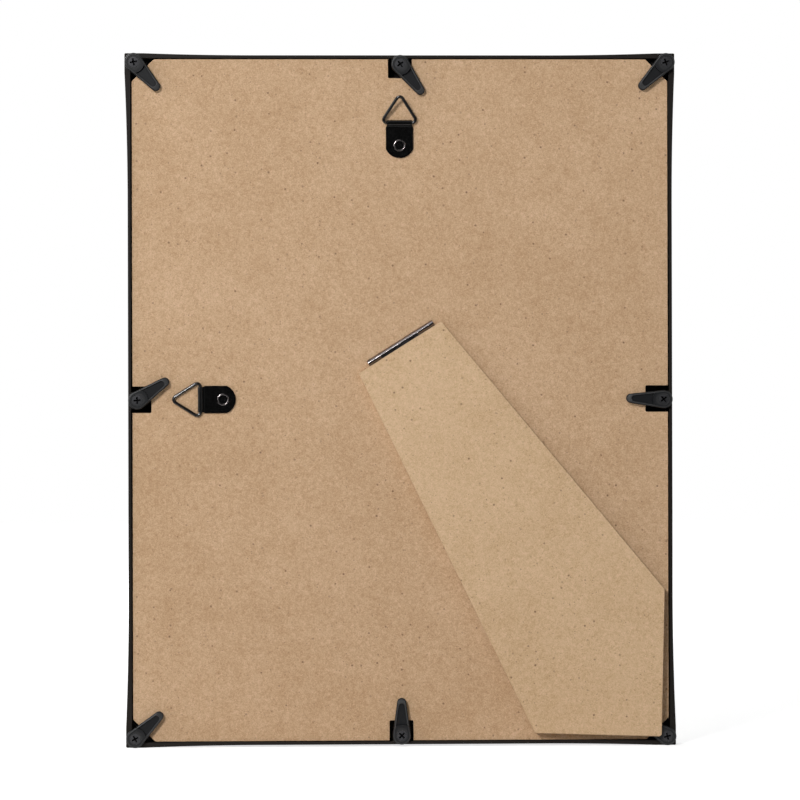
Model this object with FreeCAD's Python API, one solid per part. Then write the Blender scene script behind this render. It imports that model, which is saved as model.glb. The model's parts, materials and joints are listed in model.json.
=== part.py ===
import FreeCAD, Part
import math
import os

os.makedirs("parts", exist_ok=True)

# Easel back photo frame for a picture of 11 by 14 inches, standing upright.
# The front faces -Y, the back faces +Y and +Z is up. Left and right are as seen from behind,
# so left is +X. The origin is under the middle of the frame, on the surface that it stands on.
# All sizes are in millimetres and all angles in degrees.

# Backing board of thin fibreboard
board_width = 278.4
board_height = 353.9
board_thickness = 3.0
board_corner_cut = 11.4
board_corner_round = 1.5
notch_width = 12.5
side_notch_width = 13.8
side_notch_shift = 0.35
notch_depth = 9.8
right_notch_depth = 11.7
bottom_notch_depth = 10.4
notch_corner_round = 0.8

# Clear pane and plain paper insert, cut to the outline of the board
pane_thickness = 1.5
insert_thickness = 0.3
sheet_gap = 0.05

# Moulded frame: a channel with a face, an outer wall and a wall along the sight edge
wall = 1.6
side_play = 0.65
end_play = 0.45
side_flare = 1.5
end_flare = 1.05
corner_flat = 10.0
side_flare_run = 68.0
end_flare_run = 58.0
frame_corner_round = 0.6
face_width = 15.6
face_thickness = 2.0
face_edge_bevel = 0.8
sight_wall = 1.9
sight_bevel = 1.5
pane_seat_depth = 9.15
board_recess = 1.0
rim_bevel = 0.3
web_clearance = 0.6
web_drop = 6.5
boss_radius = 4.4
boss_proud = 0.3
pilot_depth = 9.0
pilot_clearance = 0.03

# Turn buttons and their screws
button_head_radius = 4.7
button_head_height = 3.0
button_head_round = 0.45
button_reach = 19.5
button_tip_radius = 2.4
button_seat_gap = 0.1
arm_lift = 0.95
arm_thickness = 1.65
arm_round = 0.5
pocket_start = 5.7
pocket_rim = 0.95
pocket_depth = 0.6
edge_margin = 0.05
screw_shank_radius = 1.5
screw_head_radius = 2.75
screw_sink = 0.25
screw_length = 10.0
countersink_clearance = 0.12
shank_clearance = 0.06
cross_length = 3.2
cross_width = 0.75
cross_depth = 1.1

# Easel leg and its butt hinge
leg_spread = 96.8
leg_top_width = 50.6
leg_thickness = 3.0
leg_corner_round = 1.2
leg_foot_round = 1.6
leg_foot_gap = 1.86
leg_foot_offset = 7.86
leg_board_gap = 0.3
leg_rest_gap = 0.45
leg_side_shift = 1.5
hinge_rise = 29.4
hinge_length = 40.0
hinge_sheet = 0.6
hinge_pin_radius = 0.75
hinge_pin_clearance = 0.05
first_knuckle = 7.6
middle_knuckle = 22.3
knuckle_gap = 0.2
leaf_reach = 14.0
leaf_corner_round = 2.0
kerf_clearance = 0.05
leg_barrel_gap = 0.25
groove_clearance = 0.3
rivet_shank_radius = 1.0
rivet_head_radius = 1.9
rivet_tail_radius = 1.8
rivet_tail = 0.5
rivet_spacing = 13.0
rivet_from_axis = 8.5
rivet_clearance = 0.03

# Hangers: a folded strap with an eyelet and a triangular wire ring
strap_width = 14.2
strap_length = 18.3
strap_end_rise = 4.7
strap_sheet = 0.5
roll_width = 13.0
ring_wire_radius = 0.85
ring_half_base = 9.7
ring_rise = 15.45
ring_bend_radius = 1.8
ring_clearance = 0.05
ring_rest_gap = 0.15
ring_arm_gap = 0.12
side_ring_lift = 0.0
eyelet_from_axis = 11.7
eyelet_flange_radius = 3.1
eyelet_flange = 0.45
flange_round_share = 0.9
eyelet_tube_radius = 2.0
eyelet_bore_radius = 1.45
eyelet_tail = 0.5
eyelet_clearance = 0.03
top_ring_gap = 6.95
side_ring_gap = 9.1
top_hanger_shift = 0.35
side_hanger_rise = 0.4

# One overrun for every cut that runs past a face
overrun = 1.0

# Half sizes of the frame, of its sight opening and of the pocket for the sheets
frame_half_width = board_width / 2 + side_play + wall
frame_half_height = board_height / 2 + end_play + wall
corner_half_width = frame_half_width + side_flare
corner_half_height = frame_half_height + end_flare
sight_half_width = frame_half_width - face_width
sight_half_height = frame_half_height - face_width
pocket_half_width = frame_half_width - wall
pocket_half_height = frame_half_height - wall
middle_z = corner_half_height

# Depths behind the face of the frame
insert_depth = pane_seat_depth + pane_thickness + sheet_gap
board_front_depth = insert_depth + insert_thickness + sheet_gap
board_back_depth = board_front_depth + board_thickness
frame_depth = board_back_depth + board_recess

# Heights over the back of the board
boss_top = board_recess + boss_proud
button_base = boss_top + button_seat_gap
arm_top = button_base + arm_lift + arm_thickness

# The hinge barrel: one leaf lies flush in the board, the other goes into the edge of the leg
knuckle_bore = hinge_pin_radius + hinge_pin_clearance
knuckle_radius = knuckle_bore + hinge_sheet
hinge_axis_height = knuckle_radius - hinge_sheet
leg_top_edge = knuckle_radius + leg_barrel_gap

# Centres of the turn buttons, seen from behind, each with its arm's angle and its screw's angle.
# Angles are counted from the right towards the top.
corner_x = corner_half_width - button_head_radius - edge_margin
corner_z = corner_half_height - button_head_radius - edge_margin
middle_x = frame_half_width - button_head_radius - edge_margin
middle_side_z = frame_half_height - button_head_radius - edge_margin
buttons = {
    "top_left": (corner_x, corner_z, -47.8, 12.0),
    "top": (0, middle_side_z, -52.7, 35.0),
    "top_right": (-corner_x, corner_z, -134.5, 20.0),
    "left": (middle_x, 0, 33.7, 5.0),
    "right": (-middle_x, 0, 178.3, 40.0),
    "bottom_left": (corner_x, -corner_z, 43.6, 28.0),
    "bottom": (0, -middle_side_z, 90.0, 45.0),
    "bottom_right": (-corner_x, -corner_z, 149.4, 15.0),
}

# The leg points just past the screw of the bottom right button and ends short of it
foot_x, foot_z = buttons["bottom_right"][:2]
foot_distance = math.hypot(foot_x, hinge_rise - foot_z)
foot_reach = math.sqrt(foot_distance ** 2 - leg_foot_offset ** 2)
turn = math.atan2(-foot_x, hinge_rise - foot_z) - math.asin(leg_foot_offset / foot_distance)
hinge_turn = math.degrees(turn)
leg_length = foot_reach - leg_foot_gap

# It lies on the arm of that button, wherever that arm points
leg_lift = arm_top + leg_rest_gap - leg_board_gap
leg_tilt = math.degrees(math.asin(leg_lift / (foot_reach - button_reach)))
leg_inner_drop = leg_board_gap - hinge_axis_height
leg_outer_rise = leg_inner_drop + leg_thickness
tilt = math.radians(leg_tilt)
leg_top = hinge_axis_height + leg_outer_rise * math.cos(tilt) + leg_length * math.sin(tilt)

overall_depth = board_back_depth + leg_top
front_y = -overall_depth / 2
board_back_y = front_y + board_back_depth

# Pivots of the two hangers: the tip of each ring stays clear of the notch that it points to
ring_tip = ring_rise + ring_wire_radius
top_hanger_rise = board_height / 2 - notch_depth - top_ring_gap - ring_tip
side_hanger_offset = board_width / 2 - notch_depth - side_ring_gap - ring_tip

# A ring can swing from where its tip nearly meets the board, and at rest it stands off by its lift
roll_bore = ring_wire_radius + ring_clearance
roll_radius = roll_bore + strap_sheet
ring_half_angle = math.atan2(ring_half_base, ring_rise)
ring_apex = ring_rise - ring_bend_radius * (1 / math.sin(ring_half_angle) - 1)
ring_lean = math.degrees(math.asin((roll_radius - ring_wire_radius - ring_rest_gap) / ring_apex))

# The upper ring stands off the board just far enough for the arm of the top button to pass under it
arm_reach_z = middle_side_z - button_reach - top_hanger_rise
arm_rise = arm_top - roll_radius
arm_slope = math.atan2(arm_rise, arm_reach_z)
top_ring_lift = math.degrees(
    arm_slope + math.asin((ring_wire_radius + ring_arm_gap) / math.hypot(arm_reach_z, arm_rise)))

# Corners of the leg as shares of its spread along the hinge and its length down from it
outer_knee_shares = (0.490, 0.740)
foot_shares = (0.053, 1.0)
inner_knee_shares = (-0.510, 0.850)

X = FreeCAD.Vector(1, 0, 0)
Y = FreeCAD.Vector(0, 1, 0)
Z = FreeCAD.Vector(0, 0, 1)
origin = FreeCAD.Vector(0, 0, 0)


def vec(x, y, z):
    return FreeCAD.Vector(x, y, z)


def save(shape, name):
    """Write one node after checking that it is made of sound solids."""
    if not shape.isValid() or not shape.Solids:
        raise RuntimeError(name + " is not a sound solid")
    shape.exportStep("parts/" + name + ".step")
    print(name, len(shape.Solids), round(shape.Volume, 1))


def moved(shape, x, y, z):
    """A copy of a shape, shifted."""
    copy = shape.copy()
    copy.translate(vec(x, y, z))
    return copy


def turned(shape, centre, axis, angle):
    """A copy of a shape, turned about an axis through centre."""
    copy = shape.copy()
    copy.rotate(centre, axis, angle)
    return copy


def outline(corners, rounds, y):
    """A closed wire in the plane at y through (x, z) corners, each with its own round."""
    points = [vec(x, y, z) for x, z in corners]
    edges = []
    ends = []
    for index, point in enumerate(points):
        to_last = (points[index - 1] - point).normalize()
        to_next = (points[(index + 1) % len(points)] - point).normalize()
        if rounds[index] == 0:
            ends.append((point, point))
            continue
        half = to_last.getAngle(to_next) / 2
        reach = rounds[index] / math.tan(half)
        start = point + to_last * reach
        end = point + to_next * reach
        centre = point + (to_last + to_next).normalize() * (rounds[index] / math.sin(half))
        crown = centre + (point - centre).normalize() * rounds[index]
        edges.append(Part.Arc(start, crown, end).toShape())
        ends.append((start, end))
    for index in range(len(points)):
        start = ends[index][1]
        end = ends[(index + 1) % len(points)][0]
        if start.distanceToPoint(end) > 0:
            edges.append(Part.LineSegment(start, end).toShape())
    return Part.Wire(Part.__sortEdges__(edges))


def slab(wire, depth):
    """A solid from a closed wire, pushed back along Y."""
    return Part.Face(wire).extrude(Y * depth)


def rectangle(half_width, half_height, y):
    """A closed rectangle about the middle of the frame."""
    corners = [(half_width, half_height), (-half_width, half_height),
               (-half_width, -half_height), (half_width, -half_height)]
    wire = outline(corners, [0, 0, 0, 0], y)
    wire.translate(Z * middle_z)
    return wire


def block(x_low, x_high, y_low, y_high, z_low, z_high):
    """A box between two corners."""
    size = (x_high - x_low, y_high - y_low, z_high - z_low)
    return Part.makeBox(*size, vec(x_low, y_low, z_low))


def rod(radius, length, base, axis=Y):
    """A cylinder from base along axis."""
    return Part.makeCylinder(radius, length, base, axis)


def flare_arc(x_middle, z_middle, run, rise, swap):
    """Three points on the arc that leaves the straight middle of a side and climbs to the corner."""
    radius = (run * run + rise * rise) / (2 * abs(rise))
    sweep = math.asin(run / radius)
    along = math.copysign(1, x_middle)
    out = math.copysign(1, z_middle)
    points = []
    for angle in (0, sweep / 2, sweep):
        run_here = along * radius * math.sin(angle)
        rise_here = out * radius * (1 - math.cos(angle))
        x, z = x_middle + run_here, z_middle + rise_here
        points.append((z, x) if swap else (x, z))
    return points


def frame_outline(y, inset=0):
    """The outer edge of the frame: straight sides that flare out to short flats at the corners."""
    straight_x = corner_half_width - corner_flat - end_flare_run
    straight_z = corner_half_height - corner_flat - side_flare_run
    high, wide = frame_half_height - inset, frame_half_width - inset
    corner_x, corner_z = corner_half_width - inset, corner_half_height - inset
    centre_x, centre_z = corner_x - frame_corner_round, corner_z - frame_corner_round
    diagonal = frame_corner_round * math.sqrt(0.5)
    edges = []

    def line(start, end):
        edges.append(Part.LineSegment(vec(start[0], y, start[1]), vec(end[0], y, end[1])).toShape())

    def arc(points):
        edges.append(Part.Arc(*[vec(x, y, z) for x, z in points]).toShape())

    for side in (1, -1):
        line((straight_x, side * high), (-straight_x, side * high))
        line((side * wide, straight_z), (side * wide, -straight_z))
        for way in (1, -1):
            end_arc = flare_arc(way * straight_x, side * high, end_flare_run, end_flare, False)
            side_arc = flare_arc(side * straight_z, way * wide, side_flare_run, side_flare, True)
            arc(end_arc)
            arc(side_arc)
            line(end_arc[2], (way * centre_x, side * corner_z))
            line(side_arc[2], (way * corner_x, side * centre_z))
            arc([(way * centre_x, side * corner_z),
                 (way * (centre_x + diagonal), side * (centre_z + diagonal)),
                 (way * corner_x, side * centre_z)])
    wire = Part.Wire(Part.__sortEdges__(edges))
    wire.translate(Z * middle_z)
    return wire


def frame_blank():
    """The whole bulk of the frame, with its outer edges bevelled at the face and at the rim."""
    rim_y = front_y + frame_depth
    rings = [frame_outline(front_y, face_edge_bevel),
             frame_outline(front_y + face_edge_bevel),
             frame_outline(rim_y - rim_bevel),
             frame_outline(rim_y, rim_bevel)]
    layers = [Part.makeLoft([low, high], True, True) for low, high in zip(rings, rings[1:])]
    return layers[0].fuse(layers[1:])


def make_frame():
    """The moulding, with posts for the screws that run from its face to its rim."""
    rim_y = front_y + frame_depth
    boss_y = board_back_y + boss_top
    web_y = front_y + face_thickness
    seat_y = front_y + pane_seat_depth
    blank = frame_blank()
    sight = slab(rectangle(sight_half_width, sight_half_height, front_y - overrun), frame_depth)
    wide = rectangle(sight_half_width + sight_bevel, sight_half_height + sight_bevel, front_y)
    narrow = rectangle(sight_half_width, sight_half_height, front_y + sight_bevel)
    bevel = Part.makeLoft([wide, narrow], True, True)
    pocket = slab(rectangle(pocket_half_width, pocket_half_height, seat_y), frame_depth)
    channel = slab(rectangle(pocket_half_width, pocket_half_height, web_y), pane_seat_depth - face_thickness)
    inner_wall = rectangle(sight_half_width + sight_wall, sight_half_height + sight_wall, front_y)
    kept = slab(inner_wall, frame_depth)
    frame = blank.cut(sight).cut(bevel).cut(pocket).cut(channel.cut(kept))

    posts = []
    web_leg = board_corner_cut - web_clearance
    for name, (x, z, _, _) in buttons.items():
        base = vec(x, web_y, middle_z + z)
        posts.append(rod(boss_radius, boss_y - web_y, base))
        way_x = math.copysign(1, x)
        way_z = math.copysign(1, z)
        if x != 0 and z != 0:
            end_x = way_x * (pocket_half_width + wall / 2)
            end_z = way_z * (pocket_half_height + wall / 2)
            tip_x = way_x * (pocket_half_width - web_leg)
            tip_z = way_z * (pocket_half_height - web_leg)
            wire = outline([(end_x, end_z), (tip_x, end_z), (tip_x, way_z * pocket_half_height),
                            (way_x * pocket_half_width, tip_z), (end_x, tip_z)], [0] * 5, web_y)
            wire.translate(Z * middle_z)
            posts.append(slab(wire, rim_y - web_drop - web_y))
        elif x == 0:
            edge = way_z * (frame_half_height - wall / 2)
            low, high = sorted((z, edge))
            posts.append(block(-boss_radius, boss_radius, web_y, rim_y - rim_bevel,
                               middle_z + low, middle_z + high))
        else:
            low, high = sorted((x, way_x * (frame_half_width - wall / 2)))
            posts.append(block(low, high, web_y, rim_y - rim_bevel,
                               middle_z - boss_radius, middle_z + boss_radius))
    frame = frame.fuse(posts)
    pilots = [rod(screw_shank_radius + pilot_clearance, pilot_depth + overrun,
                  vec(x, boss_y - pilot_depth, middle_z + z)) for x, z, _, _ in buttons.values()]
    return frame.cut(pilots).removeSplitter()


def make_sheet(depth, thickness):
    """A sheet with cut corners and a notch in each side for the screw posts."""
    y = front_y + depth
    half_x = board_width / 2
    half_z = board_height / 2
    cut = board_corner_cut
    corners = [(half_x, half_z - cut), (half_x - cut, half_z),
               (cut - half_x, half_z), (-half_x, half_z - cut),
               (-half_x, cut - half_z), (cut - half_x, -half_z),
               (half_x - cut, -half_z), (half_x, cut - half_z)]
    wire = outline(corners, [board_corner_round] * 8, y)
    wire.translate(Z * middle_z)
    sheet = slab(wire, thickness)
    half = notch_width / 2
    for edge, inner in ((half_z, half_z - notch_depth), (-half_z, bottom_notch_depth - half_z)):
        out = edge + math.copysign(wall, edge)
        wire = outline([(half, out), (-half, out), (-half, inner), (half, inner)],
                       [0, 0, notch_corner_round, notch_corner_round], y)
        wire.translate(Z * middle_z)
        sheet = sheet.cut(slab(wire, thickness))
    low, high = side_notch_shift - side_notch_width / 2, side_notch_shift + side_notch_width / 2
    for edge, inner in ((half_x, half_x - notch_depth), (-half_x, right_notch_depth - half_x)):
        out = edge + math.copysign(wall, edge)
        wire = outline([(out, high), (inner, high), (inner, low), (out, low)],
                       [0, notch_corner_round, notch_corner_round, 0], y)
        wire.translate(Z * middle_z)
        sheet = sheet.cut(slab(wire, thickness))
    return sheet


def place_on_hinge(shape):
    """Move a shape from the hinge's own frame, with the pin along X, to its place on the board."""
    placed = turned(shape, origin, Y, hinge_turn)
    return moved(placed, 0, board_back_y, middle_z + hinge_rise)


def place_on_hanger(shape, side):
    """Move a shape from a hanger's own frame, with the pivot along X, to its place on the board."""
    if side == "top":
        return moved(shape, top_hanger_shift, board_back_y, middle_z + top_hanger_rise)
    return moved(turned(shape, origin, Y, 90), side_hanger_offset, board_back_y, middle_z + side_hanger_rise)


def knuckle(low, high):
    """A stretch of hinge barrel between two places along the pin, with its bore."""
    base = vec(low, hinge_axis_height, 0)
    barrel = rod(knuckle_radius, high - low, base, X)
    return barrel.cut(rod(knuckle_bore, high - low, base, X))


# Ends of the knuckles along X, from the left end of the barrel to the right
barrel_left = hinge_length / 2
middle_left = barrel_left - first_knuckle
middle_right = middle_left - middle_knuckle
leaf_bottom = -leaf_reach


def rivet_places():
    """Centres of the rivets along the board leaf."""
    return [(step * rivet_spacing, -rivet_from_axis) for step in (-1, 0, 1)]


def board_leaf_outline(y):
    """The board leaf under the barrel, with its lower corners rounded."""
    corners = [(barrel_left, 0), (-barrel_left, 0), (-barrel_left, leaf_bottom), (barrel_left, leaf_bottom)]
    return outline(corners, [0, 0, leaf_corner_round, leaf_corner_round], y)


def make_board_leaf():
    """The leaf let into the board, cut away round the middle knuckle, with countersunk holes."""
    leaf = slab(board_leaf_outline(-hinge_sheet), hinge_sheet)
    narrow = rivet_shank_radius + rivet_clearance
    wide = rivet_head_radius + rivet_clearance
    window = block(middle_right - knuckle_gap, middle_left + knuckle_gap, -hinge_sheet - overrun,
                   hinge_axis_height, -knuckle_radius - groove_clearance, overrun)
    leaf = leaf.cut(window)
    leaf = leaf.fuse([knuckle(middle_left + knuckle_gap, barrel_left),
                      knuckle(-barrel_left, middle_right - knuckle_gap)])
    for x, z in rivet_places():
        leaf = leaf.cut(Part.makeCone(narrow, wide, hinge_sheet, vec(x, -hinge_sheet, z), Y))
    return leaf.removeSplitter()


def make_rivets():
    """Rivets with heads flush in the leaf and tails flush in the front of the board."""
    rivets = []
    for x, z in rivet_places():
        head = Part.makeCone(rivet_shank_radius, rivet_head_radius, hinge_sheet, vec(x, -hinge_sheet, z), Y)
        shank = rod(rivet_shank_radius, board_thickness - hinge_sheet, vec(x, -board_thickness, z))
        tail = rod(rivet_tail_radius, rivet_tail, vec(x, -board_thickness, z))
        rivets.append(head.fuse([shank, tail]).removeSplitter())
    return rivets


def make_leg_leaf():
    """The leaf that goes into the edge of the leg, from the top of the middle knuckle."""
    top = hinge_axis_height + knuckle_radius
    leaf = block(middle_right, middle_left, top - hinge_sheet, top, leaf_bottom, 0)
    return leaf.fuse(knuckle(middle_right, middle_left)).removeSplitter()


def make_leg():
    """The leg of fibreboard, flat against the board, with a kerf in its top edge for the leaf."""
    top_z = -leg_top_edge
    places = [(-leg_spread * along, -leg_length * down)
              for along, down in (outer_knee_shares, foot_shares, inner_knee_shares)]
    corners = [(leg_top_width / 2 + leg_side_shift, top_z), (leg_side_shift - leg_top_width / 2, top_z)]
    rounds = [leg_corner_round, leg_corner_round, leg_corner_round, leg_foot_round, leg_corner_round]
    leg = slab(outline(corners + places, rounds, leg_board_gap), leg_thickness)
    top = hinge_axis_height + knuckle_radius
    kerf = block(middle_right - kerf_clearance, middle_left + kerf_clearance,
                 top - hinge_sheet - kerf_clearance, top + kerf_clearance,
                 leaf_bottom - kerf_clearance, 0)
    return leg.cut(kerf)


def make_board():
    """The backing board, with a bed for the board leaf and holes for rivets and eyelets."""
    board = make_sheet(board_front_depth, board_thickness)
    cuts = []
    leaf_bed = slab(board_leaf_outline(-hinge_sheet), hinge_sheet + overrun)
    groove_half = knuckle_radius + groove_clearance
    groove = block(-barrel_left, barrel_left, hinge_axis_height - groove_half, overrun,
                   -groove_half, groove_half)
    cuts += [place_on_hinge(leaf_bed), place_on_hinge(groove)]
    for x, z in rivet_places():
        base = vec(x, -board_thickness - overrun, z)
        hole = rod(rivet_shank_radius + rivet_clearance, board_thickness + overrun, base)
        sink = rod(rivet_tail_radius + rivet_clearance, rivet_tail + rivet_clearance + overrun, base)
        cuts.append(place_on_hinge(hole.fuse(sink)))
    for side in ("top", "side"):
        base = vec(0, -board_thickness - overrun, -eyelet_from_axis)
        hole = rod(eyelet_tube_radius + eyelet_clearance, board_thickness + 2 * overrun, base)
        sink = rod(eyelet_flange_radius + eyelet_clearance, eyelet_tail + eyelet_clearance + overrun, base)
        cuts.append(place_on_hanger(hole.fuse(sink), side))
    return board.cut(cuts)


def make_button():
    """A turn button on the screw's axis, with its arm to the right and its base at the origin."""
    head = rod(button_head_radius, button_head_height, origin)
    top_rim = [e for e in head.Edges if e.BoundBox.YMin > button_head_height / 2]
    head = head.makeFillet(button_head_round, top_rim)

    tip = button_reach - button_tip_radius
    lean = math.asin((button_head_radius - button_tip_radius) / tip)
    root_x, root_z = button_head_radius * math.sin(lean), button_head_radius * math.cos(lean)
    end_x, end_z = tip + button_tip_radius * math.sin(lean), button_tip_radius * math.cos(lean)

    def plan(inset, start, y):
        slope = (root_z - end_z) / (end_x - root_x)
        start_z = root_z - (start - root_x) * slope - inset
        tip_z = end_z - inset
        edges = [Part.LineSegment(vec(-start, y, -start_z), vec(-start, y, start_z)).toShape(),
                 Part.LineSegment(vec(-start, y, start_z), vec(-end_x, y, tip_z)).toShape(),
                 Part.Arc(vec(-end_x, y, tip_z), vec(inset - button_reach, y, 0),
                          vec(-end_x, y, -tip_z)).toShape(),
                 Part.LineSegment(vec(-end_x, y, -tip_z), vec(-start, y, -start_z)).toShape()]
        return Part.Wire(edges)

    arm = slab(plan(0, root_x, arm_lift), arm_thickness)
    arm_rim = [e for e in arm.Edges if e.BoundBox.YMin > arm_lift + arm_thickness / 2
               and e.BoundBox.XMin < -root_x - arm_round]
    arm = arm.makeFillet(arm_round, arm_rim)
    arm = arm.cut(slab(plan(pocket_rim, pocket_start, arm_lift + arm_thickness - pocket_depth), pocket_depth))
    button = head.fuse(arm)
    bore = rod(screw_shank_radius + shank_clearance, button_head_height, origin)
    sink_depth = screw_head_radius - screw_shank_radius
    top = button_head_height - screw_sink
    mouth_radius = screw_head_radius + countersink_clearance
    sink = Part.makeCone(screw_shank_radius + countersink_clearance, mouth_radius, sink_depth,
                         vec(0, top - sink_depth, 0), Y)
    mouth = rod(mouth_radius, screw_sink + overrun, vec(0, top, 0))
    return button.cut([bore, sink, mouth]).removeSplitter()


def make_screw():
    """A countersunk screw with a cross recess, placed as it sits in its button."""
    top = button_head_height - screw_sink
    sink_depth = screw_head_radius - screw_shank_radius
    head = Part.makeCone(screw_shank_radius, screw_head_radius, sink_depth, vec(0, top - sink_depth, 0), Y)
    shank = rod(screw_shank_radius, screw_length - sink_depth, vec(0, top - screw_length, 0))
    screw = head.fuse(shank)
    half = cross_length / 2
    thin = cross_width / 2
    floor = top - cross_depth
    for angle in (0, 90):
        slot = block(-half, half, floor, top + overrun, -thin, thin)
        screw = screw.cut(turned(slot, origin, Y, angle))
    return screw.removeSplitter()


def place_button(shape, x, z, angle):
    """Turn a button or a screw about its own axis and put it on its post."""
    return moved(turned(shape, origin, Y, angle), x, board_back_y + button_base, middle_z + z)


def make_strap():
    """The strap, folded double round the ring's wire, with one rounded end and an eyelet hole."""
    half = strap_width / 2
    square = strap_length - strap_end_rise
    edges = [Part.LineSegment(vec(half, 0, 0), vec(-half, 0, 0)).toShape(),
             Part.LineSegment(vec(-half, 0, 0), vec(-half, 0, -square)).toShape(),
             Part.Arc(vec(-half, 0, -square), vec(0, 0, -strap_length), vec(half, 0, -square)).toShape(),
             Part.LineSegment(vec(half, 0, -square), vec(half, 0, 0)).toShape()]
    plate = slab(Part.Wire(edges), 2 * strap_sheet)
    roll_half = roll_width / 2
    room = block(-half, half, strap_sheet, 2 * strap_sheet, -roll_bore, 0)
    shoulder = block(roll_half, half, 0, 2 * strap_sheet, -roll_radius, 0)
    plate = plate.cut([room, shoulder, shoulder.mirror(origin, X)])
    base = vec(-roll_half, roll_radius, 0)
    roll = rod(roll_radius, roll_width, base, X).cut(rod(roll_bore, roll_width, base, X))
    strap = plate.fuse(roll)
    hole = rod(eyelet_tube_radius + eyelet_clearance, 2 * strap_sheet, vec(0, 0, -eyelet_from_axis))
    return strap.cut(hole).removeSplitter()


def make_eyelet():
    """A hollow eyelet through the strap and the board, rolled over at both ends."""
    base = vec(0, -board_thickness, -eyelet_from_axis)
    top = 2 * strap_sheet
    tube = rod(eyelet_tube_radius, board_thickness + top, base)
    flange = rod(eyelet_flange_radius, eyelet_flange, vec(0, top, -eyelet_from_axis))
    rolled = [e for e in flange.Edges if e.BoundBox.YMin > top + eyelet_flange / 2]
    flange = flange.makeFillet(eyelet_flange * flange_round_share, rolled)
    tail = rod(eyelet_flange_radius, eyelet_tail, base)
    eyelet = tube.fuse([flange, tail])
    bore = rod(eyelet_bore_radius, board_thickness + top + eyelet_flange, base)
    eyelet = eyelet.cut(bore)
    mouth = [e for e in eyelet.Edges if e.BoundBox.YMin > top + eyelet_flange / 2
             and e.BoundBox.XLength < 2 * eyelet_bore_radius + eyelet_clearance]
    return eyelet.makeFillet(eyelet_flange / 2, mouth)


def make_ring(lift):
    """The triangular ring of round wire, with its tip lifted off the board by an angle."""
    y = roll_radius
    corners = [(ring_half_base, 0), (0, ring_rise), (-ring_half_base, 0)]
    path = outline(corners, [ring_bend_radius] * 3, y)
    profile = Part.Wire(Part.makeCircle(ring_wire_radius, vec(0, y, 0), X))
    ring = path.makePipeShell([profile], True, True)
    return turned(ring, vec(0, y, 0), X, -lift)


save(make_frame(), "frame_moulding")
save(make_sheet(pane_seat_depth, pane_thickness), "glazing_pane")
save(make_sheet(insert_depth, insert_thickness), "insert_sheet")
save(make_board(), "backing_board")

button = make_button()
screw = make_screw()
screws = []
for name, (x, z, arm_angle, screw_angle) in buttons.items():
    save(place_button(button, x, z, arm_angle), "turn_button_" + name)
    screws.append(place_button(screw, x, z, screw_angle))
save(Part.makeCompound(screws), "turn_button_screws")

pivot = vec(0, hinge_axis_height, 0)
save(place_on_hinge(make_board_leaf()), "hinge_leaf_board")
save(place_on_hinge(Part.makeCompound(make_rivets())), "hinge_rivets")
pin = rod(hinge_pin_radius, hinge_length, vec(-barrel_left, hinge_axis_height, 0), X)
save(place_on_hinge(pin), "hinge_pin")
save(place_on_hinge(turned(make_leg_leaf(), pivot, X, leg_tilt)), "hinge_leaf_leg")
save(place_on_hinge(turned(make_leg(), pivot, X, leg_tilt)), "easel_leg")

strap = make_strap()
eyelet = make_eyelet()
for side, lift in (("top", top_ring_lift), ("side", side_ring_lift)):
    save(place_on_hanger(strap, side), "hanger_strap_" + side)
    save(place_on_hanger(eyelet, side), "hanger_eyelet_" + side)
    save(place_on_hanger(make_ring(lift), side), "hanger_ring_" + side)
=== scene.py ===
import json
import math

import bmesh
import bpy
from mathutils import Euler, Matrix, Vector
from mathutils.geometry import delaunay_2d_cdt


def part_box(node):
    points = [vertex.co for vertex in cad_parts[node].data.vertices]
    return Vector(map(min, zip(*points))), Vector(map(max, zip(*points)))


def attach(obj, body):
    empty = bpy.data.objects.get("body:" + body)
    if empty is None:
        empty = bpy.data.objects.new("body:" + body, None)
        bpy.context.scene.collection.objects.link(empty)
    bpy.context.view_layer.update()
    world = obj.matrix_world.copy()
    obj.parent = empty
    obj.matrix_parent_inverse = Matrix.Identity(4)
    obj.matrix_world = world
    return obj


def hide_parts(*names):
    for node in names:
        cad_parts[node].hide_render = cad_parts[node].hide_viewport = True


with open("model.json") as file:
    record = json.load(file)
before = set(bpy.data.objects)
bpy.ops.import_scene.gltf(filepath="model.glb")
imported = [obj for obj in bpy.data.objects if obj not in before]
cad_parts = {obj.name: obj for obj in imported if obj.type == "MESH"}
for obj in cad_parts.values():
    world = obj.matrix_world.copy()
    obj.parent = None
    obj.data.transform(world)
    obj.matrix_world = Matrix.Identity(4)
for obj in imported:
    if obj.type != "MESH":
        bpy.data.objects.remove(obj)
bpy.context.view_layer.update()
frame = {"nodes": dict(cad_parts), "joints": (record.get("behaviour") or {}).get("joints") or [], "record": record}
nodes = frame["nodes"]

MM = 0.001

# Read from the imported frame, in metres: the board's back, the middle height and the frame's face
_, board_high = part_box("backing_board")
moulding_low, moulding_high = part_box("frame_moulding")
BOARD_BACK = board_high.y
MIDDLE_Z = (moulding_low.z + moulding_high.z) / 2
FACE_Y = moulding_low.y


# Materials

def linear(code):
    """A colour written as sRGB hex, as linear RGBA."""
    channels = [int(code[i:i + 2], 16) / 255 for i in (0, 2, 4)]
    return [c / 12.92 if c <= 0.04045 else ((c + 0.055) / 1.055) ** 2.4 for c in channels] + [1.0]


def add(tree, kind, sockets=None, **settings):
    """Add a node with its own options as settings, and with its inputs as sockets.

    A socket gets a value, another node's output, or a node, which stands for its first output."""
    node = tree.nodes.new(kind)
    for name, value in settings.items():
        setattr(node, name, value)
    for name, value in (sockets or {}).items():
        if isinstance(value, bpy.types.Node):
            value = value.outputs[0]
        if isinstance(value, bpy.types.NodeSocket):
            tree.links.new(value, node.inputs[name])
        else:
            node.inputs[name].default_value = value
    return node


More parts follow.
